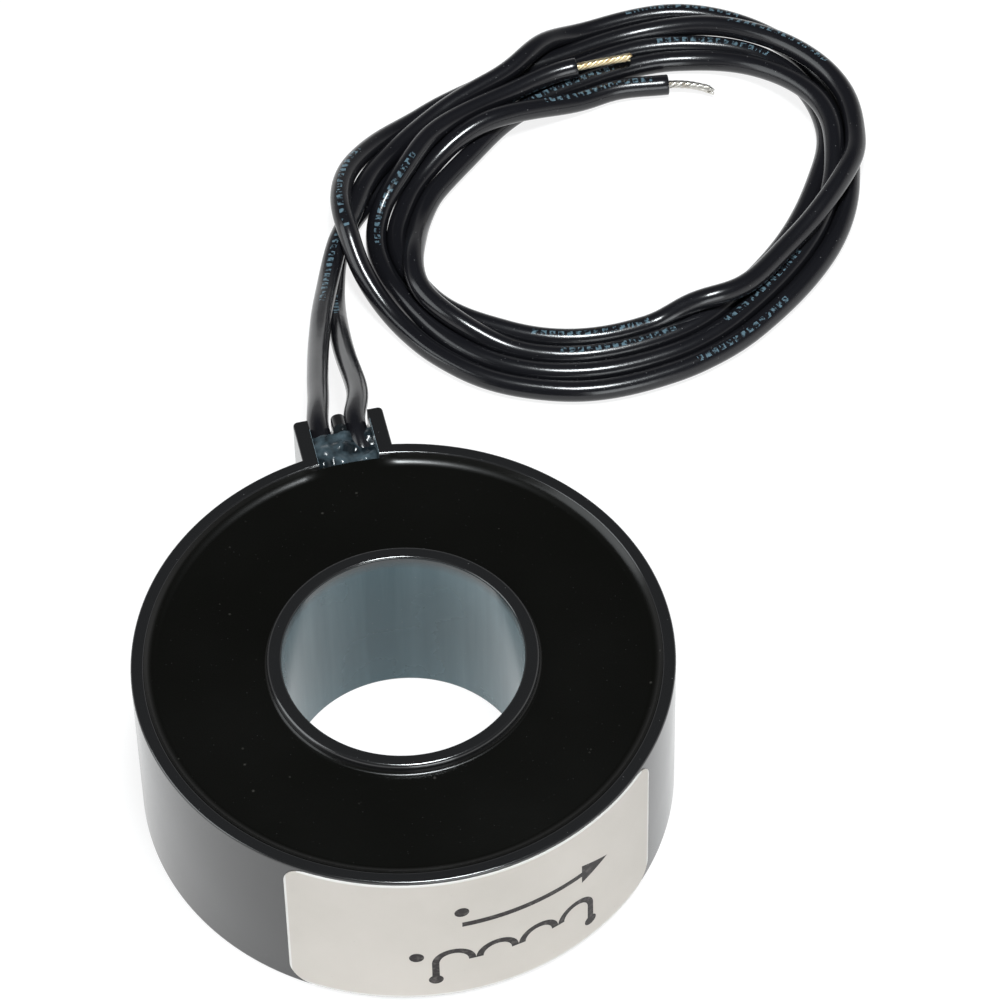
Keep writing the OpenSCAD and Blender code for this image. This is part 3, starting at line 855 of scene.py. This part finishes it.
# The resin: glossy black, and clouded pale blue-grey in the spout as a painted sheen on its lumps.
EPOXY_BLACK = (0.0025, 0.0025, 0.002, 1)
MURK_DARK = (0.008, 0.012, 0.015, 1)
MURK_PAINTED_SHEEN = (0.06, 0.085, 0.1, 1)
DUST_BROWN = (0.35, 0.33, 0.3, 1)
black_epoxy, tree, shader = material(
    "black_epoxy", Base_Color=EPOXY_BLACK, Roughness=0.24, IOR=1.42
)
where = object_place(tree)
place = node(tree, "ShaderNodeSeparateXYZ", where)
in_spout = math_node(
    tree, "MULTIPLY", math_node(tree, "GREATER_THAN", place.outputs[1], CUP_R - 1.5 * MM),
    math_node(tree, "LESS_THAN", math_node(tree, "ABSOLUTE", place.outputs[0]), TROUGH_W / 2 + MM),
)
# Painted sheen: pale blue-grey clouds on the spout's resin.
murk_painted_sheen = noise(tree, where, scale=420, detail=3)
murk_painted_sheen = node(tree, "ShaderNodeMapRange", murk_painted_sheen, 0.4, 0.62).outputs[0]
colour = mixed(tree, in_spout, EPOXY_BLACK, mixed(tree, murk_painted_sheen, MURK_DARK, MURK_PAINTED_SHEEN))
colour = dusted(tree, colour, scale=420, amount=0.1, share=0.1, dust_colour=DUST_BROWN)
colour = dusted(tree, colour, scale=1500, amount=0.14, share=0.05)
tree.links.new(colour, shader.inputs["Base Color"])
gloss = use(tree, handled, Scale=45, Gloss=0.24, Spread=0.14)
tree.links.new(
    math_node(tree, "SUBTRACT", gloss.outputs[0], math_node(tree, "MULTIPLY", in_spout, 0.08)),
    shader.inputs["Roughness"],
)
grain = use(tree, ripple, Scale=160, Fineness=2200, Grain=0.12)
lumpy = math_node(tree, "MULTIPLY", in_spout, 5.0)
lumpy = math_node(tree, "MULTIPLY", noise(tree, where, scale=520), lumpy)
height = math_node(tree, "ADD", grain.outputs[0], lumpy)
bumped(tree, shader, height, 0.03 * MM)
placed(fill, "potting_epoxy", black_epoxy, "potting")

# --- The label -----------------------------------------------------------------------------
# A warm grey film sticker with round corners, pressed on to the side wall up to the rim. It
# carries a plain printed sign for a current transformer.
LABEL_L = 50.5 * MM
LABEL_H = 23.8 * MM
LABEL_FOOT = 0.6 * MM
LABEL_CORNER = 3 * MM
LABEL_AT = 276
LABEL_R = 33.02 * MM
LABEL_T = 0.15 * MM
LABEL_PIECES = 80

put_down()
bpy.ops.mesh.primitive_plane_add(size=1)
sticker = bpy.context.object
sticker.name = "sticker"
bpy.ops.object.mode_set(mode="EDIT")
bpy.ops.transform.resize(value=(LABEL_L, LABEL_H, 1))
bpy.ops.mesh.select_all(action="SELECT")
bpy.ops.mesh.bevel(offset=LABEL_CORNER, segments=10, affect="VERTICES")
for k in range(1, LABEL_PIECES):
    bpy.ops.mesh.select_all(action="SELECT")
    cut_x = LABEL_L * (k / LABEL_PIECES - 0.5)
    bpy.ops.mesh.bisect(plane_co=(cut_x, 0, 0), plane_no=(1, 0, 0))
bpy.ops.object.mode_set(mode="OBJECT")
printed = sticker.data.uv_layers.new(name="printed")
for loop in sticker.data.loops:
    x, y, _ = sticker.data.vertices[loop.vertex_index].co
    printed.data[loop.index].uv = (x / MM, y / MM)
for v in sticker.data.vertices:
    way = math.radians(LABEL_AT) + v.co.x / LABEL_R
    v.co = (LABEL_R * math.cos(way), LABEL_R * math.sin(way), v.co.y + LABEL_FOOT + LABEL_H / 2)
bpy.context.view_layer.objects.active = sticker
film = sticker.modifiers.new("film", "SOLIDIFY")
film.thickness = LABEL_T
film.offset = 1
film.use_even_offset = True
bpy.ops.object.modifier_apply(modifier=film.name)
smoothed(sticker, 35)

# The printed sign, in millimetres: half its bars' width, its dots' radius, how far it stands
# right of the middle, its two rows' heights, its arrow, and the width of a hump.
PRINT = 0.45
DOT = 0.9
PRINT_AT = 3.2
PRIMARY_Y = 2.6
SECONDARY_Y = -5.0
ARROW_FROM = -7.0
HEAD_FROM = 9.0
HEAD_L = 4.2
HEAD_SLOPE = 0.42
HUMP = 5.4
# The film's paler edge, from the middle.
EDGE_X = LABEL_L / 2 / MM - 0.3
EDGE_Y = LABEL_H / 2 / MM - 0.3
PAPER = (0.585, 0.54, 0.495, 1)
PAPER_STAIN = (0.54, 0.5, 0.455, 1)
PAPER_EDGE = (0.8, 0.79, 0.78, 1)
PAPER_DIRT = (0.25, 0.23, 0.21, 1)
INK = (0.018, 0.014, 0.014, 1)
label_film, tree, shader = material(
    "label_film", Base_Color=(0.62, 0.6, 0.585, 1), Roughness=0.45, IOR=1.3
)
at = node(tree, "ShaderNodeUVMap", uv_map="printed").outputs[0]
at = node(tree, "ShaderNodeSeparateXYZ", at)
from_left, high = at.outputs[0], at.outputs[1]
across = math_node(tree, "SUBTRACT", from_left, PRINT_AT)


def stroke(x0, x1, y0, y1):
    """A printed bar between two corners, in millimetres from the label's middle."""
    return math_node(tree, "MULTIPLY", banded(tree, across, x0, x1), banded(tree, high, y0, y1))


def both(a, b):
    """What either of two marks covers."""
    return math_node(tree, "MAXIMUM", a, b)


def from_point(x, y):
    """The distance from a point; an X that is a socket is already measured from it."""
    dx = math_node(tree, "SUBTRACT", across, x) if not isinstance(x, bpy.types.NodeSocket) else x
    dy = math_node(tree, "SUBTRACT", high, y)
    squares = math_node(tree, "ADD", math_node(tree, "POWER", dx, 2.0),
                        math_node(tree, "POWER", dy, 2.0))
    return math_node(tree, "SQRT", squares)


# The primary: a bar with an arrow head and a dot that marks its polarity.
ink = stroke(ARROW_FROM, HEAD_FROM + 1, PRIMARY_Y - PRINT, PRIMARY_Y + PRINT)
to_point = math_node(tree, "SUBTRACT", HEAD_FROM + HEAD_L, across)
head_w = math_node(tree, "MULTIPLY", to_point, HEAD_SLOPE)
from_bar = math_node(tree, "ABSOLUTE", math_node(tree, "SUBTRACT", high, PRIMARY_Y))
head = math_node(tree, "LESS_THAN", from_bar, head_w)
in_head = banded(tree, across, HEAD_FROM, HEAD_FROM + HEAD_L)
ink = both(ink, math_node(tree, "MULTIPLY", head, in_head))
ink = both(ink, math_node(tree, "LESS_THAN", from_point(ARROW_FROM, PRIMARY_Y + 2.6), DOT))
# The secondary: four humps of winding with a leg and a dot at each end.
in_hump = math_node(tree, "MODULO", math_node(tree, "ADD", across, 2 * HUMP), HUMP)
in_hump = math_node(tree, "SUBTRACT", in_hump, HUMP / 2)
from_ring = math_node(tree, "SUBTRACT", from_point(in_hump, SECONDARY_Y), HUMP / 2 - PRINT)
ring = math_node(tree, "LESS_THAN", math_node(tree, "ABSOLUTE", from_ring), PRINT)
upper = stroke(-2 * HUMP, 2 * HUMP, SECONDARY_Y, SECONDARY_Y + HUMP)
ink = both(ink, math_node(tree, "MULTIPLY", ring, upper))
for x in (-2 * HUMP + PRINT, 2 * HUMP - PRINT):
    ink = both(ink, stroke(x - PRINT, x + PRINT, SECONDARY_Y - 3.0, SECONDARY_Y))
    ink = both(ink, math_node(tree, "LESS_THAN", from_point(x, SECONDARY_Y - 3.4), DOT))
ink = both(ink, math_node(tree, "LESS_THAN", from_point(-2 * HUMP - 1.8, SECONDARY_Y + 1.6), DOT))
where = object_place(tree)
thin = noise(tree, where, scale=1500)
thin = node(tree, "ShaderNodeMapRange", thin, 0.25, 0.5, 0.88, 1.0).outputs[0]
ink = math_node(tree, "MULTIPLY", ink, thin)
stain = noise(tree, where, scale=70, detail=4)
stain = node(tree, "ShaderNodeMapRange", stain, 0.35, 0.7).outputs[0]
paper = mixed(tree, stain, PAPER, PAPER_STAIN)
rim_x = math_node(tree, "GREATER_THAN", math_node(tree, "ABSOLUTE", from_left), EDGE_X)
rim_y = math_node(tree, "GREATER_THAN", math_node(tree, "ABSOLUTE", high), EDGE_Y)
rim = math_node(tree, "MULTIPLY", both(rim_x, rim_y), 0.6)
paper = mixed(tree, rim, paper, PAPER_EDGE)
paper = dusted(tree, paper, scale=700, amount=0.1, share=0.3, dust_colour=PAPER_DIRT)
tree.links.new(mixed(tree, ink, paper, INK), shader.inputs["Base Color"])
roughened(tree, shader, gloss=0.45, spread=0.15, scale=150)
grain = use(tree, ripple, Scale=90, Fineness=3500, Grain=0.15)
bumped(tree, shader, grain.outputs[0], 0.05 * MM)
placed(sticker, "label_film", label_film, "label")

# --- The pieces inside ---------------------------------------------------------------------
# The steel core in its wrap, the copper winding under yellow tape, and the soldered splices
# in shrink sleeves. All are sealed in the potting.
# Each piece's material: its name, its colour, a second colour in patches, its roughness, and
# 1 for a metal.
INNER = {
    "core": ("core_steel", (0.45, 0.46, 0.48, 1), (0.3, 0.31, 0.33, 1), 0.35, 1),
    "core_wrap": ("wrap_film", (0.75, 0.7, 0.55, 1), (0.62, 0.57, 0.42, 1), 0.45, 0),
    "winding": ("enamelled_copper", (0.55, 0.2, 0.06, 1), (0.4, 0.12, 0.03, 1), 0.25, 1),
    "winding_tape": ("yellow_tape", (0.7, 0.55, 0.06, 1), (0.6, 0.44, 0.04, 1), 0.25, 0),
    "splice_a": ("solder", (0.6, 0.6, 0.58, 1), (0.42, 0.42, 0.4, 1), 0.3, 1),
    "splice_b": ("solder", (0.6, 0.6, 0.58, 1), (0.42, 0.42, 0.4, 1), 0.3, 1),
    "sleeve_a": ("shrink_sleeve", (0.02, 0.02, 0.02, 1), (0.035, 0.035, 0.035, 1), 0.5, 0),
    "sleeve_b": ("shrink_sleeve", (0.02, 0.02, 0.02, 1), (0.035, 0.035, 0.035, 1), 0.5, 0),
}
for name, (finish, colour, patch, rough, metal) in INNER.items():
    made = bpy.data.materials.get(finish)
    if made is None:
        made, tree, shader = material(finish, Base_Color=colour, Roughness=rough, Metallic=metal)
        patches = noise(tree, object_place(tree), scale=250)
        mask = node(tree, "ShaderNodeMapRange", patches, 0.4, 0.65).outputs[0]
        tree.links.new(mixed(tree, mask, colour, patch), shader.inputs["Base Color"])
        roughened(tree, shader, gloss=rough, spread=0.2, scale=200)
        grain = use(tree, ripple, Scale=400, Fineness=3000, Grain=0.2)
        bumped(tree, shader, grain.outputs[0], 0.04 * MM)
    dress(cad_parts[name], made)

# --- Floor and light -----------------------------------------------------------------------
# A white sweep under a soft lamp above the camera's right and a broad weak one on the left,
# in a room that is dark overhead.
bpy.ops.mesh.primitive_plane_add(size=6, location=(0, 0, 0))
floor = bpy.context.object
floor.name = "floor"
floor_white = bpy.data.materials.new("floor_white")
floor_white.use_nodes = True
tree = floor_white.node_tree
tree.nodes.clear()
# Seen or mirrored, the floor is almost plain white, and it lights the object like pale card.
seen = node(tree, "ShaderNodeLightPath")
shown = math_node(tree, "MAXIMUM", seen.outputs["Is Camera Ray"], seen.outputs["Is Glossy Ray"])
shown = math_node(tree, "MAXIMUM", shown, seen.outputs["Is Transmission Ray"])
lit = node(tree, "ShaderNodeBsdfDiffuse", (0.8, 0.8, 0.8, 1))
pale = node(tree, "ShaderNodeBsdfDiffuse", (0.2, 0.2, 0.2, 1))
glow = node(tree, "ShaderNodeEmission", (1, 1, 1, 1), 0.84)
white = node(tree, "ShaderNodeAddShader", pale.outputs[0], glow.outputs[0])
surface = node(tree, "ShaderNodeMixShader", shown, lit.outputs[0], white.outputs[0])
node(tree, "ShaderNodeOutputMaterial", surface.outputs[0])
dress(floor, floor_white)
bpy.context.scene.view_settings.view_transform = "Standard"

world = bpy.data.worlds.new("studio")
bpy.context.scene.world = world
world.use_nodes = True
tree = world.node_tree
toward = node(tree, "ShaderNodeTexCoord").outputs["Generated"]
toward = node(tree, "ShaderNodeSeparateXYZ", toward)
sweep = node(tree, "ShaderNodeMapRange", toward.outputs[2], 0.15, 0.62, 1.0, 0.03).outputs[0]
behind = node(tree, "ShaderNodeMapRange", toward.outputs[1], -0.2, 0.8, 1.0, 0.4).outputs[0]
sweep = math_node(tree, "MULTIPLY", sweep, behind)
seen = node(tree, "ShaderNodeLightPath")
sky = math_node(tree, "MAXIMUM", sweep, seen.outputs["Is Camera Ray"])
background = tree.nodes["Background"]
tree.links.new(sky, background.inputs["Color"])
background.inputs["Strength"].default_value = 1


LAMPS_FACE = Vector((20, 50, 0)) * MM
LAMP_COLOUR = (0.93, 0.98, 1)


def lamp(name, at, size, power):
    """A square soft lamp that faces the object, in metres and watts."""
    at = Vector(at)
    aim = (LAMPS_FACE - at).to_track_quat("-Z", "Y").to_euler()
    bpy.ops.object.light_add(type="AREA", location=at, rotation=aim)
    made = bpy.context.object
    made.name = name
    made.data.size = size
    made.data.energy = power
    made.data.color = LAMP_COLOUR


lamp("key", (0.05, -0.1, 0.9), 0.2, 8.5)
lamp("left", (-0.95, 0.1, 0.6), 0.8, 5.0)
lamp("front", (0.15, -1.3, 0.45), 0.7, 5.4)
